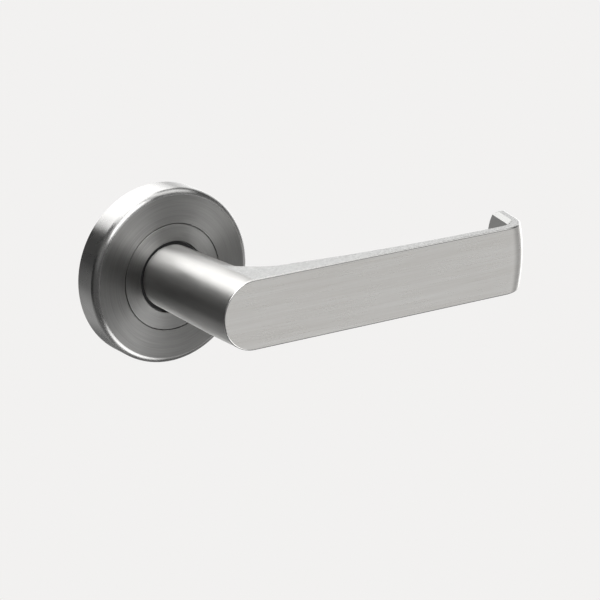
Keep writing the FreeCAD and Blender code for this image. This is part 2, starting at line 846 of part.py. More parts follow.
for build in (
    lever_handle,
    square_spindle,
    grub_screw,
    circlip,
    drive_cam,
    rose_cover,
    centre_ring,
    mounting_plate,
    spring_housing,
    front_bush,
    rear_bush,
    spring_washer,
    thrust_washer,
    return_spring,
    stop_pins,
    tie_posts,
    housing_screws,
    wood_screws,
    snap_ring,
):
    build()

doc.recompute()
failed = [
    item.Name for item in doc.Objects if "Invalid" in item.State or "Error" in item.State
]
bad = [node.Label for node in nodes if node.Shape.isNull() or not node.Shape.isValid()]
if failed or bad:
    raise RuntimeError(f"failed objects: {failed}, bad shapes: {bad}")

os.makedirs("parts", exist_ok=True)
for node in nodes:
    node.Shape.exportStep(f"parts/{node.Label}.step")
    box = node.Shape.BoundBox
    print(
        f"{node.Label}: {len(node.Shape.Solids)} solids, {node.Shape.Volume:.1f} mm3,"
        f" x {box.XMin:.2f}..{box.XMax:.2f} y {box.YMin:.2f}..{box.YMax:.2f}"
        f" z {box.ZMin:.2f}..{box.ZMax:.2f}"
    )
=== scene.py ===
import math

import bmesh
import bpy
import numpy as np
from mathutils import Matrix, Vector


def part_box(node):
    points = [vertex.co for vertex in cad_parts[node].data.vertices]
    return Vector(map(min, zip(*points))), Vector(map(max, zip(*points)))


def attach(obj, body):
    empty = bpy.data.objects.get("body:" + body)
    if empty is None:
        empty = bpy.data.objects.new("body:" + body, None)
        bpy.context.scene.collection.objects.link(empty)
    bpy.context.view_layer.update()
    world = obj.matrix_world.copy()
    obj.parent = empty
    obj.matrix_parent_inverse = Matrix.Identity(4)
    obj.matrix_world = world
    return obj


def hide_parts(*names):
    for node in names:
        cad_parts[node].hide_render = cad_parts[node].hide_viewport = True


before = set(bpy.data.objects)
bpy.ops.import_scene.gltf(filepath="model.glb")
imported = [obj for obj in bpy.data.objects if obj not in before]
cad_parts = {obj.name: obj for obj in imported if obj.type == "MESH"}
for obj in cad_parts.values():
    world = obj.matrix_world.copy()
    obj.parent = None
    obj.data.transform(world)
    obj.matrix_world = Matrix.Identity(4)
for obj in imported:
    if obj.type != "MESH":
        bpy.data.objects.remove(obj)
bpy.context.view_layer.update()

# Sprung door lever on a round rose. The door's face is at y = 0 and the spindle lies along Y.
# Lengths below are in millimetres and become metres by MM.
MM = 0.001

# --- sizes of the lever --------------------------------------------------------------------------
lever_low, lever_high = (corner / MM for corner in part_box("lever_handle"))
rose_low, rose_high = (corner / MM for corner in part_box("rose_cover"))
REACH = -lever_low.y  # door to the front of the grip
HALF_HEIGHT = lever_high.z  # of the grip
ROSE_RADIUS = rose_high.x
ROSE_DEPTH = -rose_low.y
NECK_RADIUS = 11.8  # beside the rose
SHOULDER = 10.2  # door to the neck's shoulder
SHOULDER_DEPTH = REACH - SHOULDER
NECK_WIDE_TO = 17.0  # depth at which the neck starts to narrow
NECK_EASE = 9.0  # length over which that narrowing sets in
BEND_FROM = 110.7  # x at which the end bend starts
BEND_RADIUS = 11.5
BEND_TURN = math.radians(75)
END_THICKNESS = 4.2
RETURN_DEPTH = 26.0  # depth of the return's back edge
RETURN_ARC = 16.6  # radius of that edge
ROOT_X = 24.0  # from here on the grip is a plain loft
THICK_AT = (16.0, 9.7)  # x and thickness near the neck
BACK_ARC = 640.0  # radius of the hollow back
FILLET = 8.6  # radius of the corner between the grip's back and the neck
EDGE = 0.5  # rounded edge of the grip's front
BACK_EDGE = 0.3  # broken edge of the grip's back
CROWN = 1.5  # bulge of the end bend at mid height
BEVEL_ACROSS = 1.6  # bevel inside the return, along Z
BEVEL_DEEP = 1.5  # the same, through the thickness
JOURNAL_RADIUS = 8.0
JOURNAL_FLAT = 7.2  # half width over the journal's flats
CLIP_GROOVE_RADIUS = 7.45


# --- camera --------------------------------------------------------------------------------------
def make_camera():
    turned = math.radians(34.42)
    down = math.radians(17.81)
    data = bpy.data.cameras.new("camera")
    data.lens = 156.0
    data.sensor_width = 36.0
    camera = bpy.data.objects.new("camera", data)
    camera.location = (-0.4666, -0.7734, 0.2779)
    camera.rotation_euler = (math.pi / 2 - down, 0.0, -turned)
    bpy.context.scene.collection.objects.link(camera)
    bpy.context.scene.camera = camera


make_camera()


# --- mesh helpers --------------------------------------------------------------------------------
JOIN_WITHIN = 0.002  # points nearer than this are one
FLAT_WITHIN = math.radians(0.3)  # faces that turn less than this are one flat face


class Skin:
    """Points and faces of one mesh, in millimetres, with a material number for each face."""

    def __init__(self):
        self.points = []
        self.faces = []
        self.zones = []

    def add(self, point):
        self.points.append(tuple(point))
        return len(self.points) - 1

    def row(self, points):
        return [self.add(point) for point in points]

    def face(self, corners, zone=0):
        self.faces.append(tuple(corners))
        self.zones.append(zone)

    def band(self, row_a, row_b, zone=0, closed=False):
        """Quads between two rows of the same length."""
        count = len(row_a)
        for i in range(count if closed else count - 1):
            j = (i + 1) % count
            self.face((row_a[i], row_a[j], row_b[j], row_b[i]), zone)

    def to_object(self, name, materials, sharp_angle=32.0):
        """The skin as an object in metres. Edges that turn more than sharp_angle stay sharp."""
        mesh = bpy.data.meshes.new(name)
        mesh.from_pydata([tuple(c * MM for c in p) for p in self.points], [], self.faces)
        for material in materials:
            mesh.materials.append(material)
        mesh.polygons.foreach_set("material_index", self.zones)
        finish_mesh(mesh, sharp_angle)
        return link(name, mesh)


def link(name, mesh):
    piece = bpy.data.objects.new(name, mesh)
    bpy.context.scene.collection.objects.link(piece)
    return piece


def finish_mesh(mesh, sharp_angle, flatten=False):
    """Join doubled points, turn the faces outwards and shade smooth up to an angle."""
    shell = bmesh.new()
    shell.from_mesh(mesh)
    bmesh.ops.remove_doubles(shell, verts=shell.verts, dist=JOIN_WITHIN * MM)
    bmesh.ops.dissolve_degenerate(shell, dist=JOIN_WITHIN / 2 * MM, edges=shell.edges)
    if flatten:
        bmesh.ops.dissolve_limit(
            shell, angle_limit=FLAT_WITHIN, verts=shell.verts, edges=shell.edges
        )
    bmesh.ops.recalc_face_normals(shell, faces=shell.faces)
    shell.to_mesh(mesh)
    shell.free()
    mesh.polygons.foreach_set("use_smooth", [True] * len(mesh.polygons))
    mesh.set_sharp_from_angle(angle=math.radians(sharp_angle))


def flat_faces_first(piece):
    """Large faces keep their own normal, so that a rounded edge doesn't shade the flat beside it."""
    modifier = piece.modifiers.new("weighted_normals", "WEIGHTED_NORMAL")
    modifier.keep_sharp = True
    modifier.weight = 100


def blend_between(value, low, high):
    """0 below low, 1 above high, and a smooth step between."""
    share = min(max((value - low) / (high - low), 0.0), 1.0)
    return share * share * (3.0 - 2.0 * share)


def circle_through(start, end, radius):
    """Centre of the arc from start to end, on the side of larger depth."""
    a, b = np.array(start, float), np.array(end, float)
    along = b - a
    half = np.linalg.norm(along) / 2.0
    across = np.array((-along[1], along[0])) / (2.0 * half)
    if across[1] < 0:
        across = -across
    return (a + b) / 2.0 + across * math.sqrt(radius**2 - half**2)


# --- the lever -----------------------------------------------------------------------------------
BACK_CENTRE = circle_through(THICK_AT, (BEND_FROM, END_THICKNESS), BACK_ARC)
SIDE_STEPS = 6  # faces down the grip's top and bottom edges
HEIGHT_STEPS = 24  # faces across the grip's height
FAN_STEPS = 22  # rays of the root that end on the top edge, and as many below
LEFT_STEPS = 56  # faces round the grip's half-round end
ROOT_STEPS = 16  # faces along each ray of the root
ROOT_CROWDING = 1.8  # power that draws them towards the neck
NECK_DEPTHS = [*np.arange(20.5, 34.0, 0.9), *np.linspace(34.5, SHOULDER_DEPTH - 0.4, 8)]
EDGE_ANGLES = [math.radians(a) for a in (0, 30, 60, 90)]
JOURNAL = (  # radius, y and whether the flats are cut there, from the shoulder to the tail
    (NECK_RADIUS - 0.12, -SHOULDER - 0.12, False),
    (NECK_RADIUS - 0.4, -SHOULDER, False),
    (JOURNAL_RADIUS, -SHOULDER, False),
    (JOURNAL_RADIUS, -5.15, False),
    (JOURNAL_RADIUS, -5.1, True),
    (JOURNAL_RADIUS, -0.95, True),
    (CLIP_GROOVE_RADIUS, -0.95, True),
    (CLIP_GROOVE_RADIUS, 0.15, True),
    (JOURNAL_RADIUS, 0.15, True),
    (JOURNAL_RADIUS, 1.2, True),
    (JOURNAL_RADIUS - 0.3, 1.5, True),
)
BEND_END = BEND_FROM + BEND_RADIUS * BEND_TURN


def grip_thickness(x):
    return BACK_CENTRE[1] - math.sqrt(BACK_ARC**2 - (x - BACK_CENTRE[0]) ** 2)


def root_depth(x, z):
    """Depth of the grip's back near the neck, with the round corner between the two."""
    beyond = math.hypot(x, z) - HALF_HEIGHT
    depth = grip_thickness(x)
    if beyond < FILLET:
        depth += FILLET - math.sqrt(FILLET**2 - (FILLET - max(beyond, 0.0)) ** 2)
    return depth


def neck_radius(depth):
    """Wide at the grip, then a long even taper to the shoulder, with a soft start."""
    share = (depth - NECK_WIDE_TO) / (SHOULDER_DEPTH - NECK_WIDE_TO)
    eased = share * blend_between(depth, NECK_WIDE_TO, NECK_WIDE_TO + NECK_EASE)
    return HALF_HEIGHT + (NECK_RADIUS - HALF_HEIGHT) * eased


def at_depth(x, depth, z):
    return (x, depth - REACH, z)


def edge_column(x, z, inward, deepest):
    """Points down the grip's side, from its rounded front edge to its back. inward is (x, z)."""
    points = []
    for angle in EDGE_ANGLES:
        inset = EDGE * (1 - math.sin(angle))
        depth = EDGE * (1 - math.cos(angle))
        points.append(at_depth(x + inward[0] * inset, depth, z + inward[1] * inset))
    for step in range(1, SIDE_STEPS + 1):
        points.append(at_depth(x, EDGE + (deepest - EDGE) * step / SIDE_STEPS, z))
    return points


def grip_line(distance):
    """Point (x, depth) of the outer skin and the direction into the metal, at a distance along it."""
    if distance <= BEND_FROM:
        return (distance, 0.0), (0.0, 1.0)
    angle = min((distance - BEND_FROM) / BEND_RADIUS, BEND_TURN)
    sine, cosine = math.sin(angle), math.cos(angle)
    rest = max(distance - BEND_END, 0.0)
    point = (
        BEND_FROM + BEND_RADIUS * sine + rest * cosine,
        BEND_RADIUS * (1 - cosine) + rest * sine,
    )
    return point, (-sine, cosine)


def return_end(z):
    """Distance along the outer skin of the return's rounded back edge, at a height."""
    depth = RETURN_DEPTH - RETURN_ARC + math.sqrt(RETURN_ARC**2 - z * z)
    return BEND_END + (depth - BEND_RADIUS * (1 - math.cos(BEND_TURN))) / math.sin(BEND_TURN)


def grip_section(distance, thickness, past, pinch):
    """Rows round the grip at one station: front, top side, bottom side and back.

    past is the share of the return that lies behind, and pinch draws the whole ring in.
    """
    half = HALF_HEIGHT - pinch
    outer, inner = pinch, thickness - pinch
    crown = CROWN * blend_between(distance, BEND_FROM, BEND_END)
    edge = BACK_EDGE * blend_between(distance, ROOT_X, ROOT_X + 20)
    wide = blend_between(distance, BEND_FROM + 4, BEND_END)
    across = edge + (BEVEL_ACROSS - edge) * wide
    deep = edge + (BEVEL_DEEP - edge) * wide

    def at(z, inwards):
        along = distance
        if past > 0:
            along = BEND_END + past * (return_end(min(abs(z), HALF_HEIGHT)) - BEND_END)
        (x, depth), (in_x, in_depth) = grip_line(along)
        bulge = crown * (1 - (z / HALF_HEIGHT) ** 2) * (1 - inwards / thickness)
        return at_depth(x + in_x * (inwards - bulge), depth + in_depth * (inwards - bulge), z)

    heights = [1 - 2 * i / HEIGHT_STEPS for i in range(HEIGHT_STEPS + 1)]
    front = [at(share * (half - EDGE), outer) for share in heights]
    back = [at(share * (half - across), inner) for share in heights]
    levels = []
    for angle in EDGE_ANGLES:
        levels.append((half - EDGE * (1 - math.sin(angle)), outer + EDGE * (1 - math.cos(angle))))
    low, high = outer + EDGE, inner - deep
    levels += [(half, low + (high - low) * i / SIDE_STEPS) for i in range(1, SIDE_STEPS + 1)]
    top = [at(z, inwards) for z, inwards in levels]
    bottom = [at(-z, inwards) for z, inwards in levels]
    return front, top, bottom, back


def grip_stations():
    """(distance, thickness, past, pinch) of each ring down the grip, as grip_section takes them."""
    for x in np.linspace(ROOT_X, BEND_FROM, 30):
        yield float(x), grip_thickness(float(x)), 0.0, 0.0
    for share in np.linspace(0, 1, 31)[1:]:
        yield BEND_FROM + BEND_RADIUS * BEND_TURN * float(share), END_THICKNESS, 0.0, 0.0
    for share in (0.12, 0.25, 0.38, 0.5, 0.62, 0.74, 0.84, 0.92, 0.96):
        yield BEND_END, END_THICKNESS, share, 0.0
    for share, pinch in ((0.98, 0.05), (0.993, 0.2), (1.0, 0.45)):
        yield BEND_END, END_THICKNESS, share, pinch


def make_lever(materials):
    """The casting as one closed skin: half-round end, root, grip, bend, return, neck and journal."""
    skin = Skin()
    neck, front_zone, side, inside, edge = range(5)

    def side_band(row_a, row_b, zone):
        turn = len(EDGE_ANGLES)
        skin.band(row_a[:turn], row_b[:turn], edge)
        skin.band(row_a[turn - 1 :], row_b[turn - 1 :], zone)

    # the rim of the grip's front, from the top of the first station round the left end to the bottom
    corner = math.atan2(HALF_HEIGHT, ROOT_X)
    fan = [corner + (math.pi / 2 - corner) * i / FAN_STEPS for i in range(FAN_STEPS + 1)]

    def straight_column(angle, up):
        x = HALF_HEIGHT / math.tan(angle)
        return edge_column(x, HALF_HEIGHT * up, (0, -up), root_depth(x, HALF_HEIGHT))

    def round_column(i):
        angle = math.pi / 2 + math.pi * i / LEFT_STEPS
        x, z = math.cos(angle), math.sin(angle)
        deepest = root_depth(0, HALF_HEIGHT)
        return edge_column(HALF_HEIGHT * x, HALF_HEIGHT * z, (-x, -z), deepest)

    columns = [straight_column(angle, 1) for angle in fan]
    columns += [round_column(i) for i in range(1, LEFT_STEPS)]
    columns += [straight_column(angle, -1) for angle in reversed(fan)]
    columns = [skin.row(column) for column in columns]
    for i in range(len(columns) - 1):
        straight = i < FAN_STEPS or i >= len(columns) - FAN_STEPS - 1
        side_band(columns[i], columns[i + 1], side if straight else neck)

    # the back of the root: rays from the neck out to the edges and to the first station
    heights = [1 - 2 * i / HEIGHT_STEPS for i in range(HEIGHT_STEPS + 1)]
    rays = list(reversed(fan))
    rays += [math.atan2(HALF_HEIGHT * share, ROOT_X) for share in heights[1:-1]]
    rays += [-angle for angle in fan]
    grid = []
    for angle in rays:
        cosine, sine = math.cos(angle), math.sin(angle)
        reach = ROOT_X / cosine if abs(angle) <= corner + 1e-9 else HALF_HEIGHT / abs(sine)
        row = []
        for j in range(ROOT_STEPS + 1):
            share = (j / ROOT_STEPS) ** ROOT_CROWDING
            radius = HALF_HEIGHT + (reach - HALF_HEIGHT) * share
            x, z = radius * cosine, radius * sine
            row.append(at_depth(x, root_depth(x, z), z))
        grid.append(skin.row(row))
    for row_a, row_b in zip(grid, grid[1:]):
        skin.band(row_a, row_b, inside)

    # the neck, the shoulder and the journal with its clip groove and flats
    left = [math.pi / 2 + math.pi * i / LEFT_STEPS for i in range(LEFT_STEPS - 1, 0, -1)]
    around = [(math.cos(a), math.sin(a)) for a in rays + left]
    ring = []
    for x, z in around:
        # the left half has no grip behind it, so its depth is that of the top
        beside = (HALF_HEIGHT * x, HALF_HEIGHT * z) if x > 0 else (0.0, HALF_HEIGHT)
        ring.append(at_depth(HALF_HEIGHT * x, root_depth(*beside), HALF_HEIGHT * z))
    previous = skin.row(ring)
    for depth in NECK_DEPTHS:
        radius = neck_radius(depth)
        ring = skin.row([at_depth(radius * x, float(depth), radius * z) for x, z in around])
        skin.band(previous, ring, neck, closed=True)
        previous = ring
    for radius, y, flat in JOURNAL:
        limit = JOURNAL_FLAT if flat else radius
        points = [(radius * x, y, min(max(radius * z, -limit), limit)) for x, z in around]
        ring = skin.row(points)
        skin.band(previous, ring, inside, closed=True)
        previous = ring
    skin.face(previous, inside)

    # grip, bend and return
    sections = [[skin.row(row) for row in grip_section(*station)] for station in grip_stations()]
    for now, then in zip(sections, sections[1:]):
        skin.band(now[0], then[0], front_zone)
        side_band(now[1], then[1], side)
        side_band(now[2], then[2], side)
        skin.band(now[3], then[3], inside)
        for row, end in ((1, 0), (2, -1)):
            corners = (now[row][-1], then[row][-1], then[3][end], now[3][end])
            skin.face(corners, inside)
    front, top, bottom, back = sections[-1]
    skin.band(front, back, inside)
    skin.face([*top, back[0]], inside)
    skin.face([*bottom, back[-1]], inside)
    first = sections[0][0]
    skin.face([column[0] for column in columns] + list(reversed(first[1:-1])), front_zone)
    return skin.to_object("lever_casting", materials)


# --- turned pieces -------------------------------------------------------------------------------
ROUND_STEPS = 240


def rounded(corners, steps=5):
    """A closed profile of (radius, y, corner radius), its square corners made quarter rounds."""
    points = []
    count = len(corners)
    for i, (r, y, soft) in enumerate(corners):
        here = np.array((r, y), float)
        if soft <= 0:
            points.append(tuple(here))
            continue
        before = np.array(corners[i - 1][:2], float) - here
        after = np.array(corners[(i + 1) % count][:2], float) - here
        before /= np.linalg.norm(before)
        after /= np.linalg.norm(after)
        for step in range(steps + 1):
            turn = math.pi / 2 * step / steps
            offset = before * (1 - math.sin(turn)) + after * (1 - math.cos(turn))
            points.append(tuple(here + soft * offset))
    return points


def make_turned(name, corners, materials, steps=5, zone_of=None):
    """A ring swept round Y from a closed profile. zone_of picks the material of each of its walls."""
    profile = rounded(corners, steps)
    skin = Skin()
    rows = []
    for i in range(ROUND_STEPS):
        angle = 2 * math.pi * i / ROUND_STEPS
        rows.append(skin.row([(r * math.cos(angle), y, r * math.sin(angle)) for r, y in profile]))
    count = len(profile)
    for i in range(ROUND_STEPS):
        row_a, row_b = rows[i], rows[(i + 1) % ROUND_STEPS]
        for j in range(count):
            k = (j + 1) % count
            zone = zone_of(profile[j], profile[k]) if zone_of else 0
            skin.face((row_a[j], row_a[k], row_b[k], row_b[j]), zone)
    return skin.to_object(name, materials)


# --- materials -----------------------------------------------------------------------------------
class Tree:
    """A node tree with short ways to add a node and to join its sockets."""

    def __init__(self, tree):
        self.tree = tree

    def add(self, kind, inputs=None, **settings):
        node = self.tree.nodes.new(kind)
        for key, value in settings.items():
            setattr(node, key, value)
        for key, value in (inputs or {}).items():
            socket = node.inputs[key]
            if isinstance(value, bpy.types.NodeSocket):
                self.tree.links.new(value, socket)
            else:
                socket.default_value = value
        return node

    def math(self, operation, *values):
        return self.add("ShaderNodeMath", dict(enumerate(values)), operation=operation).outputs[0]

    def vector(self, operation, *values):
        node = self.add("ShaderNodeVectorMath", dict(enumerate(values)), operation=operation)
        scalar = operation in ("DOT_PRODUCT", "LENGTH")
        return node.outputs[1 if scalar else 0]

    def span(self, value, from_low, from_high, to_low, to_high, smooth=False):
        settings = {"interpolation_type": "SMOOTHSTEP"} if smooth else {}
        inputs = {"Value": value, 1: from_low, 2: from_high, 3: to_low, 4: to_high}
        return self.add("ShaderNodeMapRange", inputs, **settings).outputs[0]

    def mix(self, factor, one, other):
        """Two colours mixed. Sockets 0, 6 and 7 are the factor and the colours A and B."""
        inputs = {0: factor, 6: one, 7: other}
        return self.add("ShaderNodeMix", inputs, data_type="RGBA").outputs[2]

    def away_from_spindle(self):
        """The way from the spindle's axis to the point, square to the axis."""
        place = self.add("ShaderNodeTexCoord").outputs["Object"]
        return self.vector("MULTIPLY", place, (1, 0, 1))

    def noise(self, place, scale, detail):
        inputs = {"Vector": place, "Scale": scale, "Detail": detail}
        return self.add("ShaderNodeTexNoise", inputs).outputs[0]

    def join(self, output, socket):
        self.tree.links.new(output, socket)


def new_group(name, inputs, outputs):
    """A shader group with its sockets: the group, its tree, and its input and output nodes."""
    group = bpy.data.node_groups.new(name, "ShaderNodeTree")
    for label, kind, value in inputs:
        socket = group.interface.new_socket(label, in_out="INPUT", socket_type=kind)
        socket.default_value = value
    for label, kind in outputs:
        group.interface.new_socket(label, in_out="OUTPUT", socket_type=kind)
    tree = Tree(group)
    start = tree.add("NodeGroupInput")
    end = tree.add("NodeGroupOutput")
    return group, tree, start, end


def make_line_marks():
    """Fine straight lines. Stretch holds the cells per metre on each axis of the piece."""
    group, tree, start, end = new_group(
        "line_marks",
        [("Stretch", "NodeSocketVector", (60, 4000, 4000)), ("Detail", "NodeSocketFloat", 3.0)],
        [("Mark", "NodeSocketFloat"), ("Broad", "NodeSocketFloat")],
    )
    place = tree.add("ShaderNodeTexCoord").outputs["Object"]
    cells = tree.vector("MULTIPLY", place, start.outputs["Stretch"])
    wider = tree.vector("MULTIPLY", cells, (0.35, 0.14, 0.14))
    tree.join(tree.noise(cells, 1.0, start.outputs["Detail"]), end.inputs["Mark"])
    tree.join(tree.noise(wider, 1.0, 2.0), end.inputs["Broad"])
    return group


def make_ring_marks():
    """Fine circles round the spindle, as a lathe tool leaves them.

    Rings is how many there are per metre, and Sectors how fast they change on the way round.
    """
    group, tree, start, end = new_group(
        "ring_marks",
        [("Rings", "NodeSocketFloat", 5000.0), ("Sectors", "NodeSocketFloat", 1.2)],
        [("Mark", "NodeSocketFloat"), ("Broad", "NodeSocketFloat")],
    )
    away = tree.away_from_spindle()
    turned = tree.vector("SCALE", tree.vector("NORMALIZE", away))
    tree.join(start.outputs["Sectors"], turned.node.inputs["Scale"])
    rings = tree.math("MULTIPLY", tree.vector("LENGTH", away), start.outputs["Rings"])
    wider = tree.math("MULTIPLY", rings, 0.08)
    for count, detail, label in ((rings, 2.5, "Mark"), (wider, 2.0, "Broad")):
        lift = tree.add("ShaderNodeCombineXYZ", {"Y": count}).outputs[0]
        tree.join(tree.noise(tree.vector("ADD", turned, lift), 1.0, detail), end.inputs[label])
    return group


def make_grain():
    """Even grain, with larger blotches of handling and polish."""
    group, tree, start, end = new_group(
        "grain",
        [("Cells", "NodeSocketFloat", 3000.0), ("Blotches", "NodeSocketFloat", 90.0)],
        [("Mark", "NodeSocketFloat"), ("Blotch", "NodeSocketFloat")],
    )
    place = tree.add("ShaderNodeTexCoord").outputs["Object"]
    tree.join(tree.noise(place, start.outputs["Cells"], 3.0), end.inputs["Mark"])
    tree.join(tree.noise(place, start.outputs["Blotches"], 2.0), end.inputs["Blotch"])
    return group


LINES = make_line_marks()
RINGS = make_ring_marks()
GRAIN = make_grain()
ROUGH_SPREAD = 0.05  # how far the tool marks change the roughness
HANDLING = 0.03  # how far the blotches of handling do


def new_material(name, metallic=1.0, **constants):
    """A material, its tree and its shader, whose even values are set on its own sockets."""
    material = bpy.data.materials.new(name)
    material.use_nodes = True
    tree = Tree(material.node_tree)
    shader = material.node_tree.nodes["Principled BSDF"]
    shader.inputs["Metallic"].default_value = metallic
    for label, value in constants.items():
        shader.inputs[label.replace("_", " ").title()].default_value = value
    return material, tree, shader


def around_spindle(tree):
    """The way the tool went round the spindle, for the stretched shine of a turned face."""
    outwards = tree.vector("NORMALIZE", tree.away_from_spindle())
    around = tree.add(
        "ShaderNodeVectorTransform",
        {"Vector": tree.vector("CROSS_PRODUCT", outwards, (0, 1, 0))},
        vector_type="VECTOR",
        convert_from="OBJECT",
        convert_to="WORLD",
    )
    return around.outputs[0]


def finish_metal(name, dark, light, rough, marks, bump, relief_depth=0.02, share=0.35, **constants):
    """A finish whose colour, gloss and relief all follow its tool marks, grain and handling.

    marks is a group and its values, and share is how much of the colour its broad marks decide.
    """
    material, tree, shader = new_material(name, **constants)
    kind, inputs = marks
    mark = tree.add("ShaderNodeGroup", node_tree=kind)
    for label, value in inputs.items():
        mark.inputs[label].default_value = value
    grain = tree.add("ShaderNodeGroup", node_tree=GRAIN)
    fine, broad = mark.outputs[0], mark.outputs[1]
    tone = tree.math(
        "ADD", tree.math("MULTIPLY", fine, 1 - share), tree.math("MULTIPLY", broad, share)
    )
    tone = tree.span(tone, 0.3, 0.7, 0.0, 1.0)
    tree.join(tree.mix(tone, (*dark, 1), (*light, 1)), shader.inputs["Base Color"])
    gloss = tree.math(
        "ADD",
        tree.span(fine, 0.25, 0.75, rough - ROUGH_SPREAD, rough + ROUGH_SPREAD),
        tree.span(grain.outputs["Blotch"], 0.3, 0.7, -HANDLING, HANDLING),
    )
    tree.join(gloss, shader.inputs["Roughness"])
    height = tree.math("ADD", fine, tree.math("MULTIPLY", grain.outputs["Mark"], 0.5))
    inputs = {"Height": height, "Strength": bump, "Distance": relief_depth * MM}
    tree.join(tree.add("ShaderNodeBump", inputs).outputs[0], shader.inputs["Normal"])
    if "anisotropic" in constants:
        tree.join(around_spindle(tree), shader.inputs["Tangent"])
    return material


TURNED = {"anisotropic": 0.9, "anisotropic_rotation": 0.25}
# the grip's front has a lighter colour than the rest of the same casting: painted light on the front,
# over its real satin lines
front_steel_painted_light = finish_metal(
    "front_satin",
    (0.75, 0.73, 0.697),
    (0.86, 0.85, 0.828),
    0.30,
    (LINES, {"Stretch": (45.0, 900.0, 3600.0)}),
    0.25,
    share=0.5,
)
side_steel = finish_metal(
    "side_ground",
    (0.26, 0.26, 0.256),
    (0.44, 0.44, 0.433),
    0.36,
    (GRAIN, {"Cells": 1300.0}),
    1.0,
    relief_depth=0.07,
    share=0.1,
)
neck_steel = finish_metal(
    "neck_turned",
    (0.50, 0.495, 0.485),
    (0.60, 0.595, 0.58),
    0.44,
    (RINGS, {"Rings": 2500.0, "Sectors": 3.0}),
    0.08,
    **{**TURNED, "anisotropic": 1.0},
)
edge_steel = finish_metal(
    "edge_polished", (0.56, 0.555, 0.545), (0.66, 0.655, 0.64), 0.2, (GRAIN, {"Cells": 2500.0}), 0.05
)
inside_steel = finish_metal(
    "inside_ground", (0.34, 0.34, 0.332), (0.46, 0.46, 0.45), 0.34, (GRAIN, {"Cells": 1500.0}), 0.4
)
# the rose's face has a darker colour than the rim of the same cover: painted shade on the face, over
# its real turned rings
face_steel_painted_shade = finish_metal(
    "face_turned",
    (0.26, 0.258, 0.253),
    (0.38, 0.377, 0.37),
    0.44,
    (RINGS, {"Rings": 4200.0}),
    0.2,
    **TURNED,
)
ring_steel = finish_metal(
    "ring_turned",
    (0.28, 0.278, 0.273),
    (0.40, 0.397, 0.39),
    0.38,
    (RINGS, {"Rings": 5200.0}),
    0.15,
    **TURNED,
)
rim_steel = finish_metal(
    "rim_turned",
    (0.44, 0.437, 0.43),
    (0.56, 0.556, 0.546),
    0.26,
    (RINGS, {"Rings": 3000.0, "Sectors": 4.0}),
    0.08,
    **TURNED,
)
zinc = finish_metal(
    "zinc_plate", (0.42, 0.43, 0.44), (0.60, 0.61, 0.62), 0.36, (GRAIN, {"Cells": 700.0}), 0.3
)
die_cast = finish_metal(
    "die_cast_zinc", (0.30, 0.30, 0.31), (0.42, 0.42, 0.43), 0.5, (GRAIN, {"Cells": 900.0}), 0.6
)
spring_wire = finish_metal(
    "spring_wire", (0.22, 0.22, 0.23), (0.38, 0.38, 0.40), 0.28, (GRAIN, {"Cells": 2000.0}), 0.3
)
bright_steel = finish_metal(
    "bright_steel", (0.50, 0.50, 0.51), (0.64, 0.64, 0.65), 0.26, (RINGS, {"Rings": 3000.0}), 0.3
)
black_steel = finish_metal(
    "black_oxide", (0.018, 0.018, 0.02), (0.05, 0.05, 0.052), 0.42, (GRAIN, {"Cells": 1400.0}), 0.5
)
bush_plastic = finish_metal(
    "bush_plastic",
    (0.008, 0.008, 0.009),
    (0.022, 0.022, 0.023),
    0.48,
    (GRAIN, {"Cells": 1800.0}),
    0.4,
    metallic=0.0,
)


# --- pieces --------------------------------------------------------------------------------------
def place(piece, body, slot, *nodes):
    """The piece moves with the body and stands for the nodes, which are hidden. The slot is not used.
    """
    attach(piece, body)
    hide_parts(*nodes)


lever = make_lever([neck_steel, front_steel_painted_light, side_steel, inside_steel, edge_steel])
flat_faces_first(lever)
place(lever, "lever", "lever_steel", "lever_handle")

FACE = -ROSE_DEPTH  # y of the rose's face
WALL = 1.25  # sheet of the cover
RIM_ROUND = 2.6
SEAM = 19.55  # outside of the centre ring's face
SEAM_GAP = 0.3  # open between the ring and the cover
RING_BORE = 13.2
RING_SEAT = -9.2  # y of the centre ring's back
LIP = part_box("centre_ring")[1].x / MM  # outside of its lip, behind the cover


def on_face(start, end):
    """0 for a wall that is on the rose's face, 1 for any other."""
    return 0 if max(start[1], end[1]) < FACE + 0.05 else 1


cover = make_turned(
    "rose_cover_shell",
    [
        (ROSE_RADIUS, 0.0, 0.25),
        (ROSE_RADIUS, FACE, RIM_ROUND),
        (SEAM + SEAM_GAP, FACE, 0.22),
        (SEAM + SEAM_GAP, FACE + WALL, 0.0),
        (ROSE_RADIUS - WALL, FACE + WALL, 0.5),
        (ROSE_RADIUS - WALL, 0.0, 0.0),
    ],
    [face_steel_painted_shade, rim_steel],
    steps=10,
    zone_of=on_face,
)
flat_faces_first(cover)
place(cover, "rose", "rose_steel", "rose_cover")

ring = make_turned(
    "rose_centre_ring",
    [
        (RING_BORE, FACE, 0.3),
        (RING_BORE, RING_SEAT, 0.0),
        (LIP, RING_SEAT, 0.0),
        (LIP, FACE + WALL, 0.0),
        (SEAM, FACE + WALL, 0.0),
        (SEAM, FACE, 0.2),
    ],
    [ring_steel],
)
flat_faces_first(ring)
place(ring, "rose", "rose_steel", "centre_ring")


def refine(node, body, slot, material):
    """The CAD solid with its loose triangles joined and its round faces shaded smooth."""
    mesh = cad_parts[node].data.copy()
    mesh.name = node + "_refined"
    mesh.materials.clear()
    mesh.materials.append(material)
    finish_mesh(mesh, 28.0, flatten=True)
    piece = link(node + "_refined", mesh)
    flat_faces_first(piece)
    place(piece, body, slot, node)


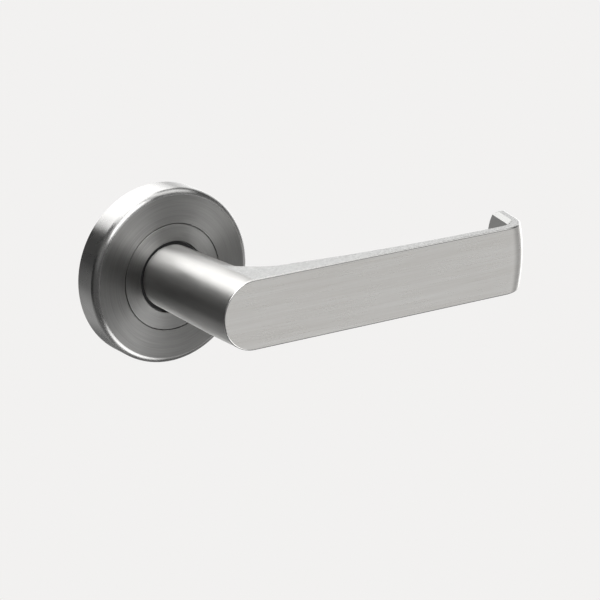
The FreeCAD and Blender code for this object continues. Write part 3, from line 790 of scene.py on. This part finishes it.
for node, body, slot, material in (
    ("mounting_plate", "rose", "zinc_plate", zinc),
    ("spring_housing", "rose", "die_cast", die_cast),
    ("front_bush", "rose", "bush_plastic", bush_plastic),
    ("rear_bush", "rose", "bush_plastic", bush_plastic),
    ("spring_washer", "rose", "spring_steel", spring_wire),
    ("thrust_washer", "rose", "bright_steel", bright_steel),
    ("return_spring", "rose", "spring_steel", spring_wire),
    ("stop_pins", "rose", "bright_steel", bright_steel),
    ("snap_ring", "rose", "spring_steel", spring_wire),
    ("square_spindle", "lever", "bright_steel", bright_steel),
    ("grub_screw", "lever", "black_steel", black_steel),
    ("circlip", "lever", "black_steel", black_steel),
    ("drive_cam", "lever", "bright_steel", bright_steel),
):
    refine(node, body, slot, material)


# --- screws and posts: one of each, set out round the spindle ------------------------------------
FIXING_STEPS = 32  # faces round a screw or post


def make_fixing(name, stations, material, pitch=1.0):
    """A turned piece on the Y axis. stations are (y, radius, depth of thread), end to end."""
    skin = Skin()
    rows = []
    for y, radius, thread in stations:
        row = []
        for i in range(FIXING_STEPS):
            share = i / FIXING_STEPS
            angle = 2 * math.pi * share
            cut = radius - thread * abs(2 * ((y / pitch + share) % 1.0) - 1)
            row.append((cut * math.cos(angle), y, cut * math.sin(angle)))
        rows.append(skin.row(row))
    for row_a, row_b in zip(rows, rows[1:]):
        skin.band(row_a, row_b, closed=True)
    skin.face(rows[0])
    skin.face(rows[-1])
    return skin.to_object(name, [material], sharp_angle=40.0)


def threaded(start, end, radius, thread, step):
    """Stations close enough together for a thread to show."""
    count = max(2, round(abs(end - start) / step))
    return [(start + (end - start) * i / count, radius, thread) for i in range(count + 1)]


def keep_result(piece):
    """Turns what the piece's modifiers make into its own plain mesh."""
    bpy.context.view_layer.update()
    result = bpy.data.meshes.new_from_object(
        piece.evaluated_get(bpy.context.evaluated_depsgraph_get())
    )
    piece.modifiers.clear()
    piece.data = result


def cut_slot(piece, width, front, depth):
    """A straight slot across the head, along X."""
    beyond = 10.0  # how far the cutter stands out of the head on each side
    skin = Skin()
    ends = []
    for x in (-beyond, beyond):
        corners = ((front - 1, -width / 2), (front + depth, -width / 2))
        corners += ((front + depth, width / 2), (front - 1, width / 2))
        ends.append(skin.row([(x, y, z) for y, z in corners]))
    skin.band(*ends, closed=True)
    skin.face(ends[0])
    skin.face(ends[1])
    cutter = skin.to_object(piece.name + "_slot", [])
    modifier = piece.modifiers.new("slot", "BOOLEAN")
    modifier.operation = "DIFFERENCE"
    modifier.solver = "EXACT"
    modifier.object = cutter
    keep_result(piece)
    bpy.data.objects.remove(cutter)


def make_setting_out():
    """Geometry nodes: copies of one fixing, evenly spaced on a circle round the spindle."""
    tree = bpy.data.node_groups.new("set_out_on_circle", "GeometryNodeTree")
    for label, kind in (
        ("Fixing", "NodeSocketObject"),
        ("Circle", "NodeSocketFloat"),
        ("Start", "NodeSocketFloat"),
        ("Count", "NodeSocketInt"),
        ("Finish", "NodeSocketMaterial"),
    ):
        tree.interface.new_socket(label, in_out="INPUT", socket_type=kind)
    tree.interface.new_socket("Geometry", in_out="OUTPUT", socket_type="NodeSocketGeometry")
    nodes = Tree(tree)
    start = nodes.add("NodeGroupInput").outputs
    turn = nodes.math("DIVIDE", 2 * math.pi, start["Count"])
    index = nodes.add("GeometryNodeInputIndex").outputs[0]
    angle = nodes.math("ADD", nodes.math("MULTIPLY", turn, index), start["Start"])
    x = nodes.math("MULTIPLY", nodes.math("COSINE", angle), start["Circle"])
    z = nodes.math("MULTIPLY", nodes.math("SINE", angle), start["Circle"])
    spot = nodes.add("ShaderNodeCombineXYZ", {"X": x, "Z": z}).outputs[0]
    points = nodes.add("GeometryNodePoints", {"Count": start["Count"], "Position": spot})
    fixing = nodes.add("GeometryNodeObjectInfo", {"Object": start["Fixing"]})
    copies = nodes.add(
        "GeometryNodeInstanceOnPoints",
        {"Points": points.outputs[0], "Instance": fixing.outputs["Geometry"]},
    )
    whole = nodes.add("GeometryNodeRealizeInstances", {"Geometry": copies.outputs[0]})
    finish = nodes.add(
        "GeometryNodeSetMaterial", {"Geometry": whole.outputs[0], "Material": start["Finish"]}
    )
    nodes.join(finish.outputs[0], nodes.add("NodeGroupOutput").inputs[0])
    return tree


SETTING_OUT = make_setting_out()


def set_out(name, fixing, circle, start, count, material):
    """Copies of the fixing as one plain mesh. start is the first one's angle from X."""
    piece = link(name, bpy.data.meshes.new(name))
    modifier = piece.modifiers.new("set_out", "NODES")
    modifier.node_group = SETTING_OUT
    values = {
        "Fixing": fixing,
        "Circle": circle * MM,
        "Start": start,
        "Count": count,
        "Finish": material,
    }
    for item in SETTING_OUT.interface.items_tree:
        if item.in_out == "INPUT":
            modifier[item.identifier] = values[item.name]
    keep_result(piece)
    bpy.data.objects.remove(fixing)
    return piece


POST_CIRCLE = 19.0
HOUSING_SCREW_CIRCLE = 18.0
HOUSING_SCREW_FRONT = -6.0  # y of the front of its head
WOOD_SCREW_AT = (17.5, 18.5)
WOOD_SHANK = 1.95  # radius
WOOD_THREAD = 0.55  # depth
PLATE = 3.0  # thickness of the mounting plate

# countersunk head and shank, thread, and a point that thins out
screw = make_fixing(
    "wood_screw",
    [(-PLATE, 3.55, 0), (-2.9, 3.7, 0), (-2.75, 3.7, 0)]
    + [(-1.05, WOOD_SHANK, 0), (0.6, WOOD_SHANK, 0)]
    + threaded(1.0, 16.0, WOOD_SHANK, WOOD_THREAD, 0.2)
    + [
        (16.0 + 0.25 * i, WOOD_SHANK - 0.115 * i, WOOD_THREAD - 0.033 * i) for i in range(1, 16)
    ]
    + [(20.0, 0.08, 0)],
    bright_steel,
    pitch=1.6,
)
cut_slot(screw, 0.8, -PLATE, 0.9)
piece = set_out(
    "wood_screw_pair",
    screw,
    math.hypot(*WOOD_SCREW_AT),
    math.atan2(WOOD_SCREW_AT[1], WOOD_SCREW_AT[0]),
    2,
    bright_steel,
)
place(piece, "rose", "bright_steel", "wood_screws")

# rounded head, thread and a blunt end
screw = make_fixing(
    "housing_screw",
    [(HOUSING_SCREW_FRONT, 1.7, 0), (-5.93, 2.1, 0), (-5.75, 2.4, 0), (-5.4, 2.58, 0)]
    + [(-5.1, 2.6, 0), (-4.4, 2.6, 0)]
    + threaded(-4.38, -0.8, 1.45, 0.22, 0.1)
    + [(-0.6, 1.15, 0)],
    bright_steel,
    pitch=0.5,
)
cut_slot(screw, 0.7, HOUSING_SCREW_FRONT, 0.8)
piece = set_out("housing_screw_set", screw, HOUSING_SCREW_CIRCLE, 0.0, 3, bright_steel)
place(piece, "rose", "bright_steel", "housing_screws")

# head, outside, and the thread down its bore
post = make_fixing(
    "tie_post",
    [(-4.2, 4.2, 0), (-4.0, 4.4, 0), (-PLATE, 4.4, 0), (-2.99, 3.5, 0), (8.6, 3.5, 0)]
    + [(9.0, 3.1, 0), (9.0, 2.6, 0)]
    + threaded(8.6, 1.2, 2.5, 0.38, 0.13)
    + [(1.0, 2.1, 0)],
    bright_steel,
    pitch=0.8,
)
piece = set_out("tie_post_pair", post, POST_CIRCLE, 0.0, 2, bright_steel)
place(piece, "rose", "bright_steel", "tie_posts")


# --- floor, studio and light ---------------------------------------------------------------------
PALE = (0.888, 0.880, 0.872, 1)  # floor and backdrop
FLOOR_SIZE = 9000.0
FLOOR_BELOW = 320.0  # spindle axis to the floor


def make_floor():
    """A pale floor well below the handle, which the metal doesn't mirror."""
    skin = Skin()
    near, far = (
        skin.row([(x, y, -FLOOR_BELOW) for x in (-FLOOR_SIZE, FLOOR_SIZE)])
        for y in (-FLOOR_SIZE, FLOOR_SIZE)
    )
    skin.band(near, far)
    material = bpy.data.materials.new("pale_floor")
    material.use_nodes = True
    shader = material.node_tree.nodes["Principled BSDF"]
    shader.inputs["Base Color"].default_value = (0.0, 0.0, 0.0, 1)
    shader.inputs["Specular IOR Level"].default_value = 0.0
    shader.inputs["Emission Color"].default_value = PALE
    shader.inputs["Emission Strength"].default_value = 1.0
    floor = skin.to_object("pale_floor", [material])
    floor.visible_glossy = False
    floor.visible_diffuse = False
    floor.visible_shadow = False


make_floor()


def make_studio():
    """A plain pale backdrop, and for the metal a room of soft panels with darker walls between.

    Each panel is the way to its middle, the cosines at which it starts and is full, and its light.
    """
    world = bpy.data.worlds.new("studio")
    bpy.context.scene.world = world
    world.use_nodes = True
    tree = Tree(world.node_tree)
    sky = world.node_tree.nodes["Background"]
    way = tree.vector("NORMALIZE", tree.add("ShaderNodeTexCoord").outputs["Generated"])
    glow = 0.13  # of the walls
    for towards, edge, full, strength in (
        ((0.60, -0.70, -0.30), 0.86, 0.95, 0.48),  # floor in front, seen in the grip
        ((0.92, -0.10, -0.32), 0.86, 0.97, 0.22),  # and on to the right, seen in the bend
        ((0.72, 0.60, -0.34), 0.86, 0.97, 0.9),  # two on the right, behind, for the bend's edge
        ((0.80, 0.58, 0.05), 0.86, 0.97, 1.3),
        ((-0.15, -0.76, 0.60), 0.89, 0.96, 3.2),  # panel above and in front
        ((-0.15, 0.15, 0.97), 0.84, 0.96, 2.4),  # panel overhead
        ((0.50, -0.32, 0.80), 0.90, 0.97, 1.5),  # strip that lights the upper edges
        ((0.10, -0.62, -0.78), 0.92, 0.98, 2.6),  # floor close in front
        ((0.11, 0.78, 0.615), 0.845, 0.90, 2.3),  # large panel above and behind
        ((-0.35, 0.55, -0.70), 0.85, 0.97, 0.25),  # faint light from low behind
        ((-0.15, 0.94, -0.29), 0.90, 0.98, 0.35),  # and on the inside of the return
        ((-0.58, 0.78, 0.22), 0.93, 0.98, -0.12),  # dark gaps between the panels
        ((-0.90, 0.40, -0.12), 0.86, 0.97, -0.12),
        ((-0.70, -0.60, 0.40), 0.88, 0.97, 0.15),  # faint light on the left
    ):
        length = math.sqrt(sum(c * c for c in towards))
        near = tree.vector("DOT_PRODUCT", way, tuple(c / length for c in towards))
        lobe = tree.span(near, edge, full, 0.0, strength, smooth=True)
        glow = tree.math("ADD", glow, lobe)
    glow = tree.math("MAXIMUM", glow, 0.03)  # of the darkest gap
    grey = tree.add("ShaderNodeCombineXYZ", {0: glow, 1: glow, 2: glow}).outputs[0]
    seen = tree.add("ShaderNodeLightPath").outputs["Is Camera Ray"]
    tree.join(tree.mix(seen, grey, PALE), sky.inputs["Color"])
    bpy.context.scene.view_settings.view_transform = "Standard"


make_studio()
